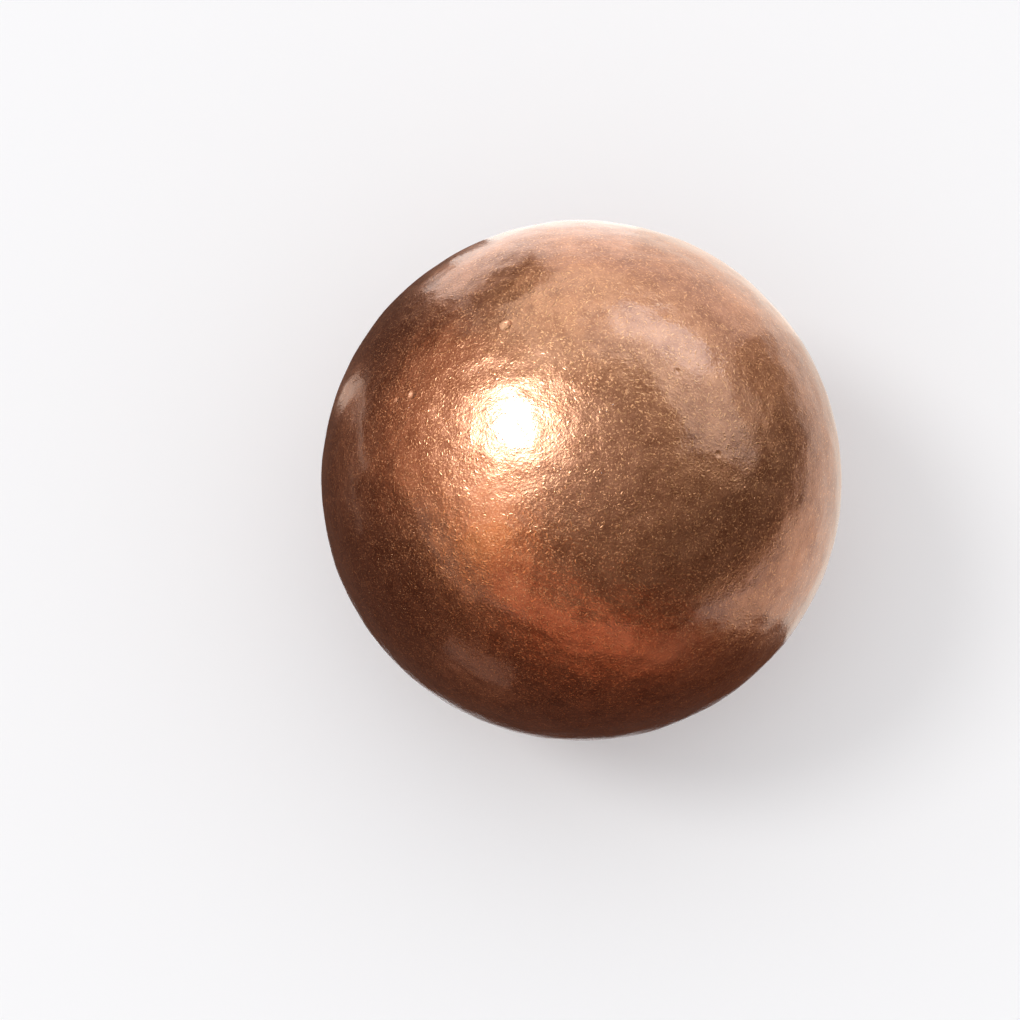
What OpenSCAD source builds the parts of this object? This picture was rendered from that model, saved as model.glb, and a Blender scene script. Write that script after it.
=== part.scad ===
// Solid copper ball
//
// One piece of solid copper, cast, turned round and tumbled in a barrel, with no core, seam,
// hole or flat. It is a true sphere apart from a few nicks, the dents that harder edges and
// other balls have left in it. Each nick is a shallow round cup, and the burnished flecks
// between them are too fine to be part of the form.
//
// The origin is the centre of the ball and +Z points up. The ball has no rest of its own: it
// sits in a ring or cupped stand that touches it around its lowest point. All lengths are in
// millimetres and all angles are in degrees.

/* [Ball] */
// Diameter of the ball
ball_d = 50; // [25:0.5:75]

/* [Nicks] */
// Width of the largest nick, across its rim
nick_w = 1.1; // [0.4:0.1:2]
// Depth of the largest nick, below its rim
nick_depth = 0.09; // [0.02:0.01:0.2]

/* [Hidden] */

ball_r = ball_d / 2;
round_fn = 96;
nick_fn = 32;

// Each nick: its azimuth from +X towards +Y, its elevation above the XY plane, and its size as
// a share of the largest. Its depth keeps the largest one's proportion to its width.
NICKS = [
    [128, 62, 1.0],
    [167, 50, 0.8],
    [168.5, 46, 0.5],
    [31, 68.5, 0.6],
    [347.5, 62, 0.6],
];

// Radius of the sphere whose cap has this half-width and this height.
function cap_radius(half_width, height) = (half_width * half_width + height * height) / (2 * height);

// Distance from the ball's centre to the plane of a rim of this half-width on its surface.
function rim_distance(half_width) = sqrt(ball_r * ball_r - half_width * half_width);

// The body that one nick takes away: a small sphere that meets the ball in the nick's rim and
// reaches below the rim by the nick's depth.
module nick_cutter(azimuth, elevation, share) {
    half_width = share * nick_w / 2;
    depth = share * nick_depth;
    cutter_r = cap_radius(half_width, depth);
    rotate([0, -elevation, azimuth])
        translate([rim_distance(half_width) + cutter_r - depth, 0, 0])
            sphere(r = cutter_r, $fn = nick_fn);
}

module ball() {
    color([0.62, 0.37, 0.25])
        difference() {
            sphere(r = ball_r, $fn = round_fn);
            for (nick = NICKS)
                nick_cutter(nick[0], nick[1], nick[2]);
        }
}

ball();
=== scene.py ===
"""Looks of a solid copper ball, tumbled in a barrel and tarnished brown.

The ball is one piece. Its skin is a closed mesh with the shallow undulations and the nicks that
tumbling leaves, and its finish is drawn by nodes: a brown patina crossed by short burnished
flecks. Lengths are in metres in the ball's own frame, whose origin is the ball's centre.
"""

import logging
import math
from dataclasses import dataclass, field
from enum import Enum

import bmesh
import bpy
import numpy as np
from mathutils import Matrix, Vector, noise


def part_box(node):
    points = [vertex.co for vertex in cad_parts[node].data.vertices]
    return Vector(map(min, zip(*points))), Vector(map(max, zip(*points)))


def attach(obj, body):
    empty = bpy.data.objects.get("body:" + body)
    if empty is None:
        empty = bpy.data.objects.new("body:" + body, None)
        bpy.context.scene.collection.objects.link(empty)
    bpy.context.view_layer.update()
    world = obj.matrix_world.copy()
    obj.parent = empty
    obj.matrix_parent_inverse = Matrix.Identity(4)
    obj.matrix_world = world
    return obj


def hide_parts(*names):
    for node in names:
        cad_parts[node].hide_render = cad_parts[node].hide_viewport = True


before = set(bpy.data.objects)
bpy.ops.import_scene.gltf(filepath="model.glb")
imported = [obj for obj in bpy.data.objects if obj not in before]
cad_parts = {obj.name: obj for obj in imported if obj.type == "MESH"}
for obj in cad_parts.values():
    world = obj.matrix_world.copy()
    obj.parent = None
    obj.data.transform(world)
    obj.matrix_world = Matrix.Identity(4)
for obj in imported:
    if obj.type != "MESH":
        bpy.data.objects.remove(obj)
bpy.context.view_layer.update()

log = logging.getLogger("copper_ball")

MM = 0.001
MICRON = 0.000001

# The sockets of a Mix node that mixes colours.
MIX_A = 6
MIX_B = 7
MIX_RESULT = 2
# A noise texture's values lie round this one.
NOISE_MIDDLE = (0.5, 0.5, 0.5)


def linear(code: str) -> tuple[float, float, float, float]:
    """Turns an sRGB hex colour into the linear colour that nodes and lights take.

    The numbers are those of the sRGB standard's own curve.

    Args:
        code: Six hex digits after a hash, such as "#b87333".

    Returns:
        Red, green, blue and an alpha of 1.
    """
    shares = [int(code[i : i + 2], 16) / 255 for i in (1, 3, 5)]
    return (*(s / 12.92 if s <= 0.04045 else ((s + 0.055) / 1.055) ** 2.4 for s in shares), 1.0)


def direction(azimuth: float, elevation: float) -> Vector:
    """Gives a unit vector.

    Args:
        azimuth: Angle from +X towards +Y, in degrees.
        elevation: Angle above the XY plane, in degrees.

    Returns:
        The unit vector with those angles.
    """
    around, up = math.radians(azimuth), math.radians(elevation)
    return Vector((math.cos(up) * math.cos(around), math.cos(up) * math.sin(around), math.sin(up)))


def add_node(
    tree: bpy.types.NodeTree,
    kind: str,
    settings: dict[str, object] | None = None,
    inputs: dict[str | int, object] | None = None,
) -> bpy.types.Node:
    """Adds one node to a tree.

    Args:
        tree: The tree that gets the node.
        kind: The node's type, such as "ShaderNodeTexNoise".
        settings: The node's own properties by name.
        inputs: What each input gets, by its name or number: a socket is linked, a value is set.

    Returns:
        The new node.
    """
    node = tree.nodes.new(kind)
    for name, value in (settings or {}).items():
        setattr(node, name, value)
    for key, value in (inputs or {}).items():
        if isinstance(value, bpy.types.NodeSocket):
            tree.links.new(value, node.inputs[key])
        else:
            node.inputs[key].default_value = value
    return node


class CubeSide(Enum):
    """A side of the cube that the skin is spread from: its axis, sign and cell in the UV map."""

    RIGHT = (0, 1, (0, 0))
    LEFT = (0, -1, (1, 0))
    BACK = (1, 1, (2, 0))
    FRONT = (1, -1, (0, 1))
    TOP = (2, 1, (1, 1))
    UNDER = (2, -1, (2, 1))

    @property
    def axis(self) -> int:
        """The number of the axis that the side faces along."""
        return self.value[0]

    @property
    def sign(self) -> int:
        """1 where the side faces the positive way, or -1."""
        return self.value[1]

    @property
    def cell(self) -> tuple[int, int]:
        """The side's column and row in the UV map's grid of three by two."""
        return self.value[2]


@dataclass(frozen=True)
class Nick:
    """A small round dent in the ball's skin.

    Attributes:
        azimuth: Angle from +X towards +Y, in degrees.
        elevation: Angle above the XY plane, in degrees.
        share: Its size as a share of the largest nick's.
        bared: How bare its metal is, from 0 where it is as tarnished as the skin to 1.
    """

    azimuth: float
    elevation: float
    share: float
    bared: float


@dataclass(frozen=True)
class FleckLayer:
    """One size of burnished fleck: short curved dents that lie every way on the skin.

    Attributes:
        spacing: Distance between neighbouring flecks.
        length: Length of a fleck from tip to tip.
        width: Width of a fleck at its middle.
        depth: Height of the deepest fleck's ridge.
        bend: How far a fleck's middle bows sideways, in half widths.
        rarity: How much rarer strong flecks are than faint ones: 1 for as many of each.
        shift: Where the layer's pattern starts, so that no two layers match.
    """

    spacing: float
    length: float
    width: float
    depth: float
    bend: float
    rarity: float
    shift: Vector


@dataclass(frozen=True)
class TumbledCopper:
    """Solid copper, tumbled with stone chips and left to tarnish.

    The air has turned it an even warm brown under a thin clear film. The chips have rippled it finely
    and burnished it in short curved dents, which catch the light one by one, so it glitters round
    each lamp and looks satin elsewhere. The film adds a paler, crisper shine.

    Attributes:
        name: The material's name.
        patina: The tarnish where it is thin.
        patina_dark: The tarnish where it is thick.
        burnished: The metal that the chips have rubbed.
        fresh: The bare metal in a nick.
        patina_roughness: Roughness of the tarnish.
        burnished_roughness: Roughness of a fleck, which the chips have smoothed.
        scuffed_roughness: Roughness of a scuff, which the chips have only grazed.
        film_roughness: Roughness of the clear film.
        film_follow: How much of the metal's relief the film follows, from 0 to 1.
        cloud_size: Width of the clouds in which the tarnish thickens.
        cloud_octaves: How many times finer clouds are added to them.
        cloud_gain: Strength of each finer layer of cloud, as a share of the one before.
        cloud_low: Noise below which the tarnish is thickest.
        cloud_high: Noise above which the tarnish is thinnest.
        ripple_size: Width of the ripples that the chips leave.
        ripple_range: Height between the lowest and the highest ripple.
        ripple_octaves: How many times finer ripples are added to them.
        ripple_gain: Strength of each finer layer of ripple, as a share of the one before.
        dimple_size: Width of the broader dimples under the ripples.
        dimple_range: Height between the lowest and the highest dimple.
        swirl_size: Distance over which the flecks' curves change.
        swirl_reach: How far the swirls carry a fleck.
        flecks: The burnished flecks.
        scuffs: The smaller marks between them.
    """

    name: str = "tumbled_tarnished_copper"
    patina: str = "#c88661"
    patina_dark: str = "#9b5d3c"
    burnished: str = "#e8a470"
    fresh: str = "#f3b387"
    patina_roughness: float = 0.36
    burnished_roughness: float = 0.27
    scuffed_roughness: float = 0.6
    film_roughness: float = 0.16
    film_follow: float = 0.4
    cloud_size: float = 3.0 * MM
    cloud_octaves: float = 5.0
    cloud_gain: float = 0.8
    cloud_low: float = 0.34
    cloud_high: float = 0.66
    # Real ripples run down to a few hundredths of a millimetre, too fine to show: these are the
    # broadest of them.
    ripple_size: float = 0.26 * MM
    ripple_range: float = 28 * MICRON
    ripple_octaves: float = 1.0
    ripple_gain: float = 0.55
    dimple_size: float = 1.1 * MM
    dimple_range: float = 55 * MICRON
    swirl_size: float = 1.6 * MM
    swirl_reach: float = 0.3 * MM
    flecks: FleckLayer = FleckLayer(
        spacing=0.51 * MM,
        length=0.55 * MM,
        width=0.19 * MM,
        depth=19.5 * MICRON,
        bend=0.8,
        rarity=2.0,
        shift=Vector(),
    )
    # Most real scuffs are under 0.1 mm, too fine to show, so these are drawn three times as long.
    scuffs: FleckLayer = FleckLayer(
        spacing=0.27 * MM,
        length=0.31 * MM,
        width=0.14 * MM,
        depth=7.5 * MICRON,
        bend=0.8,
        rarity=2.0,
        shift=Vector((3.1, 1.7, 2.3)) * MM,
    )

    def build(self) -> bpy.types.Material:
        """Makes the material.

        Returns:
            The new material.
        """
        material = bpy.data.materials.new(self.name)
        material.use_nodes = True
        tree = material.node_tree
        tree.nodes.clear()
        place = add_node(tree, "ShaderNodeTexCoord").outputs["Object"]
        outward = add_node(
            tree, "ShaderNodeVectorMath", {"operation": "NORMALIZE"}, {0: place}
        ).outputs[0]
        swirled = self._swirl(tree, place)
        fleck = self._flecks(tree, self.flecks, swirled, outward)
        scuff = self._flecks(tree, self.scuffs, swirled, outward)
        height = self._height(tree, place, fleck, scuff)
        shader = add_node(
            tree,
            "ShaderNodeBsdfPrincipled",
            inputs={
                "Base Color": self._colour(tree, place, fleck, scuff),
                "Metallic": 1.0,
                "Roughness": self._roughness(tree, fleck, scuff),
                "Normal": self._bump(tree, height, 1.0),
                "Coat Weight": 1.0,
                "Coat Roughness": self.film_roughness,
                "Coat Normal": self._bump(tree, height, self.film_follow),
            },
        )
        add_node(tree, "ShaderNodeOutputMaterial", inputs={"Surface": shader.outputs[0]})
        return material

    def _colour(
        self,
        tree: bpy.types.NodeTree,
        place: bpy.types.NodeSocket,
        fleck: bpy.types.NodeSocket,
        scuff: bpy.types.NodeSocket,
    ) -> bpy.types.NodeSocket:
        """Mixes the tarnish and the bare metal in the flecks, scuffs and nicks.

        Args:
            tree: The material's tree.
            place: The point on the ball.
            fleck: How far the point is up a fleck.
            scuff: How far the point is up a scuff.

        Returns:
            The colour there.
        """
        cloud = add_node(
            tree,
            "ShaderNodeTexNoise",
            inputs={
                "Vector": place,
                "Scale": 1 / self.cloud_size,
                "Detail": self.cloud_octaves,
                "Roughness": self.cloud_gain,
            },
        )
        cover = add_node(
            tree,
            "ShaderNodeMapRange",
            inputs={
                "Value": cloud.outputs["Fac"],
                "From Min": self.cloud_low,
                "From Max": self.cloud_high,
            },
        )
        colour = add_node(
            tree,
            "ShaderNodeMix",
            {"data_type": "RGBA"},
            {0: cover.outputs[0], MIX_A: linear(self.patina_dark), MIX_B: linear(self.patina)},
        ).outputs[MIX_RESULT]
        worn = add_node(tree, "ShaderNodeMath", {"operation": "MAXIMUM"}, {0: fleck, 1: scuff})
        colour = add_node(
            tree,
            "ShaderNodeMix",
            {"data_type": "RGBA"},
            {0: worn.outputs[0], MIX_A: colour, MIX_B: linear(self.burnished)},
        ).outputs[MIX_RESULT]
        nick = add_node(tree, "ShaderNodeAttribute", {"attribute_name": "nick"})
        return add_node(
            tree,
            "ShaderNodeMix",
            {"data_type": "RGBA"},
            {0: nick.outputs["Fac"], MIX_A: colour, MIX_B: linear(self.fresh)},
        ).outputs[MIX_RESULT]

    def _roughness(
        self,
        tree: bpy.types.NodeTree,
        fleck: bpy.types.NodeSocket,
        scuff: bpy.types.NodeSocket,
    ) -> bpy.types.NodeSocket:
        """Makes the flecks smoother than the tarnish and the scuffs rougher.

        Args:
            tree: The material's tree.
            fleck: How far the point is up a fleck.
            scuff: How far the point is up a scuff.

        Returns:
            The roughness there.
        """
        rubbed = add_node(
            tree,
            "ShaderNodeMapRange",
            inputs={
                "Value": fleck,
                "To Min": self.patina_roughness,
                "To Max": self.burnished_roughness,
            },
        )
        return add_node(
            tree,
            "ShaderNodeMapRange",
            inputs={"Value": scuff, "To Min": rubbed.outputs[0], "To Max": self.scuffed_roughness},
        ).outputs[0]

    def _height(
        self,
        tree: bpy.types.NodeTree,
        place: bpy.types.NodeSocket,
        fleck: bpy.types.NodeSocket,
        scuff: bpy.types.NodeSocket,
    ) -> bpy.types.NodeSocket:
        """Raises the flecks and scuffs, and ripples and dimples what lies between them.

        Args:
            tree: The material's tree.
            place: The point on the ball.
            fleck: How far the point is up a fleck.
            scuff: How far the point is up a scuff.

        Returns:
            The height there.
        """
        ripple = add_node(
            tree,
            "ShaderNodeTexNoise",
            inputs={
                "Vector": place,
                "Scale": 1 / self.ripple_size,
                "Detail": self.ripple_octaves,
                "Roughness": self.ripple_gain,
            },
        )
        dimple = add_node(
            tree,
            "ShaderNodeTexNoise",
            inputs={"Vector": place, "Scale": 1 / self.dimple_size, "Detail": 0.0},
        )
        height = add_node(
            tree,
            "ShaderNodeMath",
            {"operation": "MULTIPLY"},
            {0: ripple.outputs["Fac"], 1: self.ripple_range},
        ).outputs[0]
        for share, depth in (
            (dimple.outputs["Fac"], self.dimple_range),
            (fleck, self.flecks.depth),
            (scuff, self.scuffs.depth),
        ):
            height = add_node(
                tree,
                "ShaderNodeMath",
                {"operation": "MULTIPLY_ADD"},
                {0: share, 1: depth, 2: height},
            ).outputs[0]
        return height

    def _bump(
        self, tree: bpy.types.NodeTree, height: bpy.types.NodeSocket, share: float
    ) -> bpy.types.NodeSocket:
        """Tilts the surface as its height says.

        Args:
            tree: The material's tree.
            height: The height, in metres.
            share: How much of the height counts, from 0 to 1.

        Returns:
            The normal there.
        """
        return add_node(
            tree, "ShaderNodeBump", inputs={"Strength": share, "Distance": 1.0, "Height": height}
        ).outputs[0]

    def _swirl(self, tree: bpy.types.NodeTree, place: bpy.types.NodeSocket) -> bpy.types.NodeSocket:
        """Bends space a little, so that neighbouring flecks curve together.

        Args:
            tree: The material's tree.
            place: The point on the ball.

        Returns:
            The moved point.
        """
        drift = add_node(
            tree,
            "ShaderNodeTexNoise",
            inputs={"Vector": place, "Scale": 1 / self.swirl_size, "Detail": 1.0},
        )
        centred = add_node(
            tree,
            "ShaderNodeVectorMath",
            {"operation": "SUBTRACT"},
            {0: drift.outputs["Color"], 1: NOISE_MIDDLE},
        )
        return add_node(
            tree,
            "ShaderNodeVectorMath",
            {"operation": "MULTIPLY_ADD"},
            {0: centred.outputs[0], 1: (self.swirl_reach,) * 3, 2: place},
        ).outputs[0]

    def _flecks(
        self,
        tree: bpy.types.NodeTree,
        layer: FleckLayer,
        place: bpy.types.NodeSocket,
        outward: bpy.types.NodeSocket,
    ) -> bpy.types.NodeSocket:
        """Draws one layer of flecks.

        Args:
            tree: The material's tree.
            layer: The flecks' sizes.
            place: The point on the ball.
            outward: The ball's outward direction there.

        Returns:
            A value of 0 between the flecks that rises to at most 1 along each fleck's middle.
        """
        moved = add_node(
            tree,
            "ShaderNodeVectorMath",
            {"operation": "ADD"},
            {0: place, 1: layer.shift},
        ).outputs[0]
        cells = add_node(
            tree,
            "ShaderNodeTexVoronoi",
            {"feature": "F1"},
            {"Vector": moved, "Scale": 1 / layer.spacing, "Randomness": 1.0},
        )
        offset = add_node(
            tree,
            "ShaderNodeVectorMath",
            {"operation": "SUBTRACT"},
            {0: moved, 1: cells.outputs["Position"]},
        ).outputs[0]
        pick = add_node(
            tree,
            "ShaderNodeVectorMath",
            {"operation": "SUBTRACT"},
            {0: cells.outputs["Color"], 1: NOISE_MIDDLE},
        ).outputs[0]
        lie = add_node(
            tree, "ShaderNodeVectorMath", {"operation": "CROSS_PRODUCT"}, {0: outward, 1: pick}
        ).outputs[0]
        run = add_node(
            tree, "ShaderNodeVectorMath", {"operation": "NORMALIZE"}, {0: lie}
        ).outputs[0]
        side = add_node(
            tree, "ShaderNodeVectorMath", {"operation": "CROSS_PRODUCT"}, {0: outward, 1: run}
        ).outputs[0]
        run_part = add_node(
            tree, "ShaderNodeVectorMath", {"operation": "DOT_PRODUCT"}, {0: offset, 1: run}
        ).outputs["Value"]
        side_part = add_node(
            tree, "ShaderNodeVectorMath", {"operation": "DOT_PRODUCT"}, {0: offset, 1: side}
        ).outputs["Value"]
        along = add_node(
            tree, "ShaderNodeMath", {"operation": "DIVIDE"}, {0: run_part, 1: layer.length / 2}
        ).outputs[0]
        across = add_node(
            tree, "ShaderNodeMath", {"operation": "DIVIDE"}, {0: side_part, 1: layer.width / 2}
        ).outputs[0]
        along_squared = add_node(
            tree, "ShaderNodeMath", {"operation": "MULTIPLY"}, {0: along, 1: along}
        ).outputs[0]
        bowed = add_node(
            tree,
            "ShaderNodeMath",
            {"operation": "MULTIPLY_ADD"},
            {0: along_squared, 1: layer.bend, 2: across},
        ).outputs[0]
        spread = add_node(
            tree,
            "ShaderNodeMath",
            {"operation": "MULTIPLY_ADD"},
            {0: bowed, 1: bowed, 2: along_squared},
        ).outputs[0]
        shape = add_node(
            tree,
            "ShaderNodeMath",
            {"operation": "SUBTRACT", "use_clamp": True},
            {0: 1.0, 1: spread},
        ).outputs[0]
        luck = add_node(
            tree, "ShaderNodeTexWhiteNoise", inputs={"Vector": cells.outputs["Position"]}
        ).outputs["Value"]
        force = add_node(
            tree,
            "ShaderNodeMath",
            {"operation": "POWER"},
            {0: luck, 1: layer.rarity},
        ).outputs[0]
        return add_node(
            tree, "ShaderNodeMath", {"operation": "MULTIPLY"}, {0: shape, 1: force}
        ).outputs[0]


@dataclass
class CopperBall:
    """The ball: a closed skin with the shallow undulations and the nicks that tumbling leaves.

    Attributes:
        radius: The ball's radius, from the frame.
        cuts: How many cuts each edge of the first cube gets.
        swell_size: Wavelength of the undulations, from broad to fine.
        swell_depth: Depth of the undulations, from broad to fine.
        nick_width: Width of the largest nick across its rim.
        nick_depth: Depth of the largest nick below its rim.
        burr: Height of the lip around a nick, as a share of its depth.
        burr_width: How fast the lip falls off, in half widths of the nick.
        burr_reach: Where the lip ends, in half widths from the nick's middle.
        bare_reach: Where a nick's bare metal ends, in half widths from its middle.
        refined: How far round a nick each finer cut of the grid reaches, in widths of the nick.
        rounded: How far round a nick the finer grid is rounded, in widths of the largest nick.
        gap: Space round each side of the cube in the UV map, as a share of the map.
        nicks: The nicks that the frame's own solid has.
        piece: The ball's object, once it is built.
    """

    radius: float
    cuts: int = 111
    swell_size: tuple[float, ...] = (6.0 * MM, 2.4 * MM)
    swell_depth: tuple[float, ...] = (75 * MICRON, 55 * MICRON)
    nick_width: float = 1.1 * MM
    nick_depth: float = 0.09 * MM
    burr: float = 0.15
    burr_width: float = 0.4
    burr_reach: float = 2.5
    bare_reach: float = 1.3
    refined: tuple[float, ...] = (1.6, 1.1)
    rounded: float = 3.0
    gap: float = 0.006
    nicks: tuple[Nick, ...] = (
        Nick(128, 62, 1.0, 0.45),
        Nick(167, 50, 0.8, 1.0),
        Nick(168.5, 46, 0.5, 0.8),
        Nick(31, 68.5, 0.6, 0.1),
        Nick(347.5, 62, 0.6, 0.2),
    )
    piece: bpy.types.Object | None = field(default=None, init=False)

    def build(self) -> None:
        """Makes the ball's mesh and hangs it in the frame in place of the plain solid."""
        shape = bmesh.new()
        bmesh.ops.create_cube(shape, size=2.0)
        bmesh.ops.subdivide_edges(shape, edges=shape.edges[:], cuts=self.cuts, use_grid_fill=True)
        self._round(shape)
        for nick in self.nicks:
            self._refine(shape, nick)
        self._weather(shape)
        bmesh.ops.recalc_face_normals(shape, faces=shape.faces[:])
        mesh = bpy.data.meshes.new("copper_ball")
        shape.to_mesh(mesh)
        shape.free()
        mesh.shade_smooth()
        self.piece = bpy.data.objects.new("copper_ball", mesh)
        bpy.context.scene.collection.objects.link(self.piece)
        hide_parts("ball")
        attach(self.piece, "root")
        self._mark_nicks(mesh)
        self._unfold(mesh)

    def dress(self, material: bpy.types.Material) -> None:
        """Gives the ball its finish."""
        self.piece.data.materials.append(material)

    def _round(self, shape: bmesh.types.BMesh) -> None:
        """Spreads the cube's grid onto the sphere in equal angles.

        Args:
            shape: The cut cube, with sides 2 long.
        """
        quarter = math.pi / 4
        for vertex in shape.verts:
            spread = Vector([math.tan(c * quarter) for c in vertex.co])
            vertex.co = spread.normalized() * self.radius

    def _refine(self, shape: bmesh.types.BMesh, nick: Nick) -> None:
        """Cuts the grid finer around a nick, which is only a few cells wide.

        Args:
            shape: The round grid.
            nick: The nick to make room for.
        """
        centre = direction(nick.azimuth, nick.elevation) * self.radius
        for reach in self.refined:
            limit = reach * nick.share * self.nick_width
            near = [
                e for e in shape.edges if any((v.co - centre).length < limit for v in e.verts)
            ]
            bmesh.ops.subdivide_edges(shape, edges=near, cuts=1, use_grid_fill=True)
        for vertex in shape.verts:
            if (vertex.co - centre).length < self.rounded * self.nick_width:
                vertex.co = vertex.co.normalized() * self.radius

    def _weather(self, shape: bmesh.types.BMesh) -> None:
        """Moves the skin in and out by what tumbling does to it.

        Args:
            shape: The round grid, finer around each nick.
        """
        for vertex in shape.verts:
            outward = vertex.co.normalized()
            lift = 0.0
            for size, depth in zip(self.swell_size, self.swell_depth, strict=True):
                lift += depth * noise.noise(outward * (self.radius / size))
            for nick in self.nicks:
                lift += self._nick_lift(nick, outward)
            vertex.co = outward * (self.radius + lift)

    def _nick_lift(self, nick: Nick, outward: Vector) -> float:
        """Says how far a nick moves the skin at one place.

        Args:
            nick: The nick.
            outward: The ball's outward direction at that place.

        Returns:
            The move along that direction, below zero in the cup and above it on the lip.
        """
        half_width = nick.share * self.nick_width / 2
        away = (outward - direction(nick.azimuth, nick.elevation)).length * self.radius / half_width
        if away > self.burr_reach:
            return 0.0
        depth = nick.share * self.nick_depth
        lip = self.burr * depth * math.exp(-(((away - 1.0) / self.burr_width) ** 2))
        return lip - depth * max(0.0, 1.0 - away * away)

    def _mark_nicks(self, mesh: bpy.types.Mesh) -> None:
        """Stores on each vertex how far inside a nick it lies, for the finish to read.

        Args:
            mesh: The ball's mesh.
        """
        places = np.empty(len(mesh.vertices) * 3, np.float32)
        mesh.vertices.foreach_get("co", places)
        places = places.reshape(-1, 3)
        outward = places / np.linalg.norm(places, axis=1, keepdims=True)
        inside = np.zeros(len(places), np.float32)
        for nick in self.nicks:
            centre = np.array(direction(nick.azimuth, nick.elevation))
            half_width = nick.share * self.nick_width / 2
            away = np.linalg.norm(outward - centre, axis=1) * self.radius / half_width
            inside = np.maximum(inside, nick.bared * np.clip(self.bare_reach - away, 0, 1))
        mark = mesh.attributes.new("nick", "FLOAT", "POINT")
        mark.data.foreach_set("value", inside)

    def _unfold(self, mesh: bpy.types.Mesh) -> None:
        """Gives the mesh a UV map: the six sides of the cube, side by side with a gap between.

        Args:
            mesh: The ball's mesh.
        """
        corners = np.empty(len(mesh.loops), np.int32)
        mesh.loops.foreach_get("vertex_index", corners)
        places = np.empty(len(mesh.vertices) * 3, np.float32)
        mesh.vertices.foreach_get("co", places)
        places = places.reshape(-1, 3)[corners]
        middles = np.empty(len(mesh.polygons) * 3, np.float32)
        mesh.polygons.foreach_get("center", middles)
        middles = middles.reshape(-1, 3)
        counts = np.empty(len(mesh.polygons), np.int32)
        mesh.polygons.foreach_get("loop_total", counts)
        facing = np.argmax(np.abs(middles), axis=1)
        sign = np.sign(middles[np.arange(len(middles)), facing])
        facing, sign = np.repeat(facing, counts), np.repeat(sign, counts)
        spots = np.empty((len(corners), 2), np.float32)
        for cube_side in CubeSide:
            chosen = (facing == cube_side.axis) & (sign == cube_side.sign)
            across, up = (axis for axis in range(3) if axis != cube_side.axis)
            reach = np.abs(places[chosen, cube_side.axis])
            for number, (axis, count) in enumerate(((across, 3), (up, 2))):
                turn = np.arctan(places[chosen, axis] / reach) / (math.pi / 2) + 0.5
                cell = cube_side.cell[number] / count
                spots[chosen, number] = cell + self.gap + turn * (1 / count - 2 * self.gap)
        layer = mesh.uv_layers.new(name="OFBake")
        layer.data.foreach_set("uv", spots.ravel())


@dataclass(frozen=True)
class Card:
    """A curved card that stands or lies round the ball and shows only in its shine.

    Attributes:
        name: What the card is called.
        start: Azimuth of its first edge, in degrees.
        sweep: How far round the ball it runs, in degrees.
        profile: Its section, as distances from the ball's middle and heights above it, in radii.
        colour: Its colour.
        strength: How bright that colour is.
        climb: How far its last edge stands above its first, in radii.
        segments: How many flat strips make its curve.
    """

    name: str
    start: float
    sweep: float
    profile: tuple[tuple[float, float], ...]
    colour: str
    strength: float = 1.0
    climb: float = 0.0
    segments: int = 24

    def build(self, radius: float) -> None:
        """Makes the card and hides it from everything but the shine.

        Args:
            radius: The ball's radius.
        """
        shape = bmesh.new()
        first = direction(self.start, 0)
        points = [
            shape.verts.new((first * away + Vector((0, 0, up))) * radius)
            for away, up in self.profile
        ]
        edges = [shape.edges.new(pair) for pair in zip(points, points[1:])]
        bmesh.ops.spin(
            shape,
            geom=points + edges,
            axis=(0, 0, 1),
            angle=math.radians(self.sweep),
            dvec=(0, 0, self.climb * radius / self.segments),
            steps=self.segments,
        )
        mesh = bpy.data.meshes.new(self.name)
        shape.to_mesh(mesh)
        shape.free()
        card = bpy.data.objects.new(self.name, mesh)
        bpy.context.scene.collection.objects.link(card)
        card.visible_camera = False
        card.visible_diffuse = False
        card.visible_shadow = False
        mesh.materials.append(self._paint())

    def _paint(self) -> bpy.types.Material:
        """Makes the card's even glow.

        Returns:
            The new material.
        """
        material = bpy.data.materials.new(self.name)
        material.use_nodes = True
        tree = material.node_tree
        tree.nodes.clear()
        glow = add_node(
            tree,
            "ShaderNodeEmission",
            inputs={"Color": linear(self.colour), "Strength": self.strength},
        )
        add_node(tree, "ShaderNodeOutputMaterial", inputs={"Surface": glow.outputs[0]})
        material.cycles.emission_sampling = "NONE"
        return material


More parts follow.
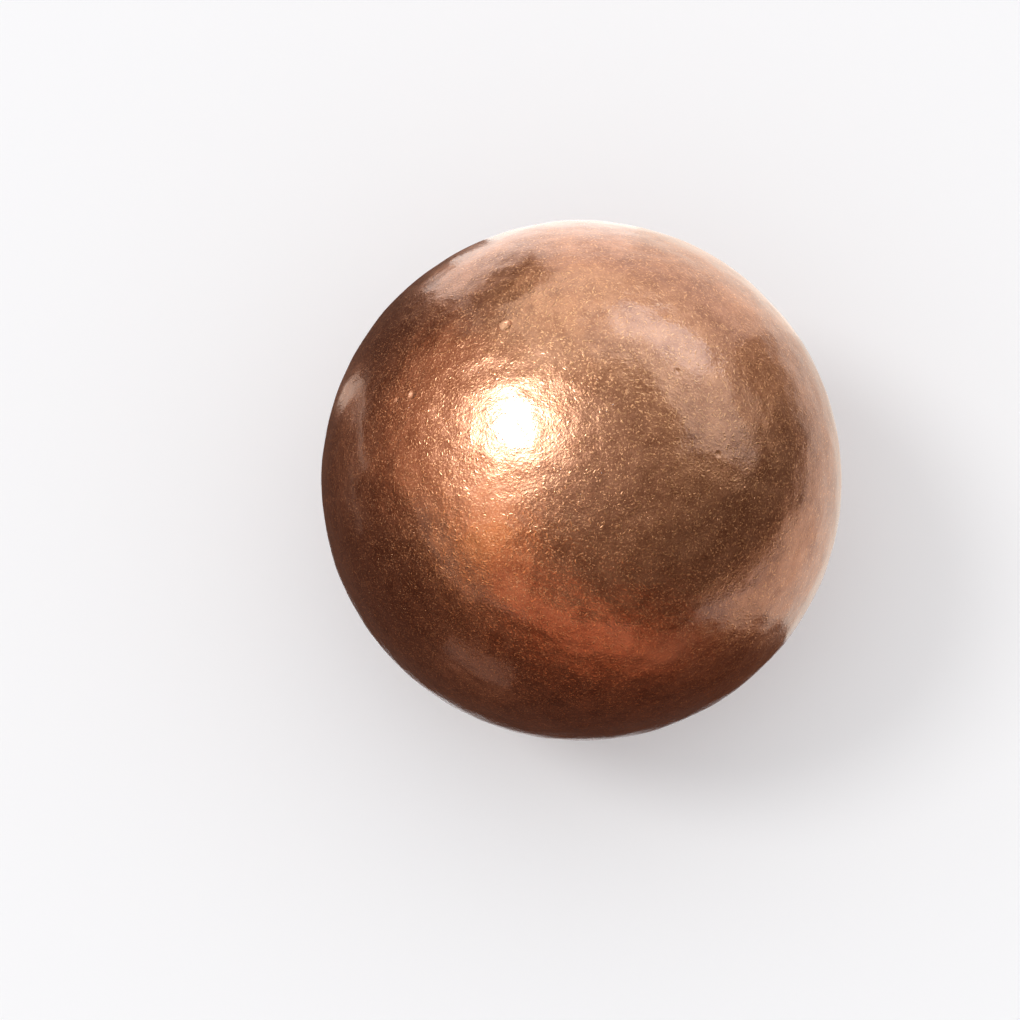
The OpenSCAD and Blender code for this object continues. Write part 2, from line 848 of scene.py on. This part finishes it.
@dataclass
class Studio:
    """A pale floor under soft light, with a small bright lamp, seen from nearly overhead.

    Attributes:
        radius: The ball's radius, from the frame.
        floor_colour: Colour of the floor.
        floor_roughness: Roughness of the floor.
        floor_reach: How far the floor runs from the ball.
        floor_sides: How many straight sides make the floor's round edge.
        horizon: Colour of the room's walls, as far up as they are pale.
        overhead: Colour of the room above them.
        zenith: Colour of the ceiling straight above.
        pale_up_to: How far a direction may rise and still meet a pale wall.
        dim_from: How far a direction rises where the room is as dim as overhead.
        dim_up_to: How far a direction rises where the ceiling starts to brighten.
        key: Azimuth and elevation of the lamp that lights the floor.
        key_strength: How strongly that lamp lights the floor.
        key_spread: That lamp's width as an angle, in degrees.
        glint: Azimuth and elevation of the lamp that shines in the metal.
        glint_colour: Colour of that lamp.
        glint_strength: How strongly that lamp shines.
        glint_spread: That lamp's width as an angle, in degrees.
        fill_colour: Colour of the ceiling's light.
        fill_strength: How strongly the ceiling lights the floor.
        fill_spread: The ceiling's width as an angle, in degrees.
        lens: Focal length of the camera, in millimetres.
        camera: Azimuth and elevation of the camera.
        ball_share: The ball's width as a share of the picture's.
        ball_place: Where the ball's centre lies, in halves of the picture right and up of its middle.
        cards: The cards that give the ball's shine its bright and dark sides.
    """

    radius: float
    floor_colour: str = "#f3f3f3"
    floor_roughness: float = 0.9
    floor_reach: float = 6.0
    floor_sides: int = 64
    horizon: str = "#f4f1ea"
    overhead: str = "#82786c"
    zenith: str = "#bcb4aa"
    pale_up_to: float = 0.12
    dim_from: float = 0.3
    dim_up_to: float = 0.75
    key: tuple[float, float] = (167.0, 57.0)
    key_strength: float = 0.58
    key_spread: float = 16.0
    glint: tuple[float, float] = (158.0, 57.0)
    glint_colour: str = "#c8e3ff"
    glint_strength: float = 5.4
    glint_spread: float = 14.0
    fill_colour: str = "#eff5ff"
    fill_strength: float = 2.2
    fill_spread: float = 150.0
    lens: float = 90.0
    camera: tuple[float, float] = (-90.0, 78.0)
    ball_share: float = 0.51
    ball_place: tuple[float, float] = (0.139, 0.057)
    cards: tuple[Card, ...] = (
        Card("window_wall", 5, 86, ((40, 10.7), (40, 40.5)), "#cfdfe6", 2.0, climb=5),
        Card("window", 40, 38, ((39, 10.6), (39, 25)), "#c2ddf2", 4.2),
        Card("side_wall", 79, 39, ((41, 0.5), (41, 48)), "#e0e9e2", 1.75),
        Card("side_glow", 87, 16, ((40.5, 2), (40.5, 20)), "#e6e9e0", 2.5),
        Card("pale_mat", -56, 96, ((1.2, -0.96), (8, -0.96)), "#fff6ea", 0.9),
        Card("back_mat", 40, 38, ((1.2, -0.96), (8, -0.96)), "#fff6ea", 1.22),
        Card("bright_mat", 78, 47, ((1.2, -0.96), (8, -0.96)), "#fffaf4", 1.55),
        Card("left_flag", 125, 179, ((1.1, -0.92), (3, -0.92), (3, 1.1)), "#553d35"),
        Card("near_corner", 107, 19, ((1.1, -0.93), (2.0, -0.93)), "#553d35"),
        Card("far_corner", 116, 10, ((2.0, -0.93), (2.6, -0.93)), "#553d35"),
        Card("left_gap", 150, 6, ((1.7, -0.88), (2.9, -0.88)), "#ecd5c4", 1.2),
        Card("left_slit", 156, 20, ((2.92, -0.9), (2.92, -0.62)), "#ecd5c4", 1.3, climb=0.55),
        Card("left_strip", 173, 18, ((2.9, -0.9), (2.9, -0.68)), "#d8bba9", 0.7, climb=0.15),
        Card("left_glow", 130, 62, ((2.95, 0.75), (2.95, 2.8)), "#c39779", 1.1),
        Card("left_patch", -131, 20, ((2.9, -0.9), (2.9, -0.2)), "#b09a90"),
        Card("warm_wall", 192, 40, ((2.95, 2.1), (2.95, 4.5)), "#ffdfc4", 1.6),
        Card("gold_patch", -145, 18, ((2.9, 1.75), (2.9, 3.2)), "#ffcf92", 2.1),
        Card("warm_band", -138, 50, ((2.9, 2.03), (2.9, 2.85)), "#d39a80", climb=-1.65),
        Card("band_core", -126, 52, ((2.84, 1.85), (2.84, 2.25)), "#f0a888", 1.7, climb=-1.2),
        Card("band_tail", -88, 32, ((2.87, 0.47), (2.87, 1.17)), "#d39a80", climb=-0.58),
        Card("band_end", -56, 23, ((2.88, -1.0), (2.88, 0.81)), "#583a2f", climb=-1.75),
        Card("warm_edge", -100, 38, ((2.85, 0.8), (2.85, 1.6)), "#c38b73", climb=-1.0),
        Card("band_shade", -84, 26, ((3, 1.35), (3, 2.05)), "#564b44", climb=-0.47),
        Card("right_flag", -58, 74, ((3, 0.88), (3, 2.35)), "#564b44", climb=-1.34),
        Card("right_shade", 16, 24, ((3, -0.33), (3, 1.03)), "#94836f"),
        Card("near_shade", -58, 28, ((1.1, -0.94), (2.2, -0.94)), "#583a2f"),
        Card("low_shade", -58, 23, ((2.2, -0.94), (2.9, -0.94)), "#583a2f"),
        Card("back_flag", 100, 23, ((2.8, -0.16), (2.8, 0.95)), "#3d2e26", climb=0.5),
    )

    def build(self) -> None:
        """Makes the floor, the room's light, the lamps, the cards and the camera."""
        self._lay_floor()
        self._light_room()
        self._hang_lamps()
        for card in self.cards:
            card.build(self.radius)
        self._place_camera()
        bpy.context.scene.view_settings.view_transform = "Standard"

    def _lay_floor(self) -> None:
        """Lays a round matt floor that touches the ball."""
        shape = bmesh.new()
        bmesh.ops.create_circle(
            shape, cap_ends=True, radius=self.floor_reach, segments=self.floor_sides
        )
        bmesh.ops.translate(shape, verts=shape.verts[:], vec=(0, 0, -self.radius))
        mesh = bpy.data.meshes.new("floor")
        shape.to_mesh(mesh)
        shape.free()
        floor = bpy.data.objects.new("floor", mesh)
        bpy.context.scene.collection.objects.link(floor)
        # Matt white lacquer scatters all its light, so it shows the shadow and no reflection.
        material = bpy.data.materials.new("matt_white_table")
        material.use_nodes = True
        tree = material.node_tree
        tree.nodes.clear()
        shader = add_node(
            tree,
            "ShaderNodeBsdfPrincipled",
            inputs={
                "Base Color": linear(self.floor_colour),
                "Roughness": self.floor_roughness,
                "Specular IOR Level": 0.0,
            },
        )
        add_node(tree, "ShaderNodeOutputMaterial", inputs={"Surface": shader.outputs[0]})
        mesh.materials.append(material)

    def _light_room(self) -> None:
        """Lights the room: pale walls under a dim ceiling."""
        world = bpy.data.worlds.new("room")
        bpy.context.scene.world = world
        world.use_nodes = True
        tree = world.node_tree
        tree.nodes.clear()
        coords = add_node(tree, "ShaderNodeTexCoord")
        height = add_node(
            tree, "ShaderNodeSeparateXYZ", inputs={0: coords.outputs["Generated"]}
        ).outputs["Z"]
        rise = add_node(
            tree,
            "ShaderNodeMapRange",
            {"interpolation_type": "SMOOTHSTEP"},
            {"Value": height, "From Min": self.pale_up_to, "From Max": self.dim_from},
        ).outputs[0]
        room = add_node(
            tree,
            "ShaderNodeMix",
            {"data_type": "RGBA"},
            {0: rise, MIX_A: linear(self.horizon), MIX_B: linear(self.overhead)},
        ).outputs[MIX_RESULT]
        crown = add_node(
            tree,
            "ShaderNodeMapRange",
            {"interpolation_type": "SMOOTHSTEP"},
            {"Value": height, "From Min": self.dim_up_to, "From Max": 1.0},
        ).outputs[0]
        room = add_node(
            tree,
            "ShaderNodeMix",
            {"data_type": "RGBA"},
            {0: crown, MIX_A: room, MIX_B: linear(self.zenith)},
        ).outputs[MIX_RESULT]
        background = add_node(tree, "ShaderNodeBackground", inputs={"Color": room})
        add_node(tree, "ShaderNodeOutputWorld", inputs={"Surface": background.outputs[0]})

    def _hang_lamps(self) -> None:
        """Hangs the lamps: one throws the shadow, one shines in the metal, one is the ceiling."""
        key = self._hang("key_lamp", self.key, "#ffffff", self.key_strength, self.key_spread)
        key.visible_glossy = False
        above = (0.0, 90.0)
        fill = self._hang("ceiling", above, self.fill_colour, self.fill_strength, self.fill_spread)
        fill.visible_glossy = False
        glint = self._hang(
            "glint", self.glint, self.glint_colour, self.glint_strength, self.glint_spread
        )
        glint.visible_diffuse = False

    def _hang(
        self, name: str, place: tuple[float, float], colour: str, strength: float, spread: float
    ) -> bpy.types.Object:
        """Hangs one lamp far off, so that its light is even.

        Args:
            name: What the lamp is called.
            place: Its azimuth and elevation, in degrees.
            colour: The colour of its light.
            strength: How strongly it lights what faces it.
            spread: Its width as an angle, in degrees.

        Returns:
            The lamp's object.
        """
        lamp = bpy.data.lights.new(name, "SUN")
        lamp.color = linear(colour)[:3]
        lamp.energy = strength
        lamp.angle = math.radians(spread)
        holder = bpy.data.objects.new(name, lamp)
        towards = direction(*place)
        holder.rotation_mode = "QUATERNION"
        holder.rotation_quaternion = towards.to_track_quat("Z", "Y")
        holder.location = towards
        bpy.context.scene.collection.objects.link(holder)
        return holder

    def _place_camera(self) -> None:
        """Stands the camera nearly overhead, with the ball a little right of and above the middle."""
        camera = bpy.data.cameras.new("camera")
        camera.lens = self.lens
        half_view = camera.sensor_width / 2 / self.lens
        distance = self.radius / math.sin(math.atan(self.ball_share * half_view))
        back = direction(*self.camera)
        right = Vector((1, 0, 0))
        up = back.cross(right)
        half_width = half_view * distance
        aside = right * self.ball_place[0] * half_width + up * self.ball_place[1] * half_width
        holder = bpy.data.objects.new("camera", camera)
        holder.location = back * distance - aside
        holder.rotation_mode = "QUATERNION"
        holder.rotation_quaternion = back.to_track_quat("Z", "Y")
        bpy.context.scene.collection.objects.link(holder)
        bpy.context.scene.camera = holder


def corners(box: tuple[Vector, Vector]) -> list[list[float]]:
    """Turns a box's two corners into plain lists."""
    return [list(corner) for corner in box]


def main() -> None:
    """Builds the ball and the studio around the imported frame."""
    low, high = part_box("ball")
    radius = (high.z - low.z) / 2
    ball = CopperBall(radius)
    ball.build()
    ball.dress(TumbledCopper().build())
    log.info("ball: %d faces, radius %.4f m", len(ball.piece.data.polygons), radius)
    studio = Studio(radius)
    studio.build()
    log.info("studio: floor, room, three lamps, %d cards and camera", len(studio.cards))


if __name__ == "__main__":
    logging.basicConfig(level=logging.INFO, format="%(name)s: %(message)s")
    main()
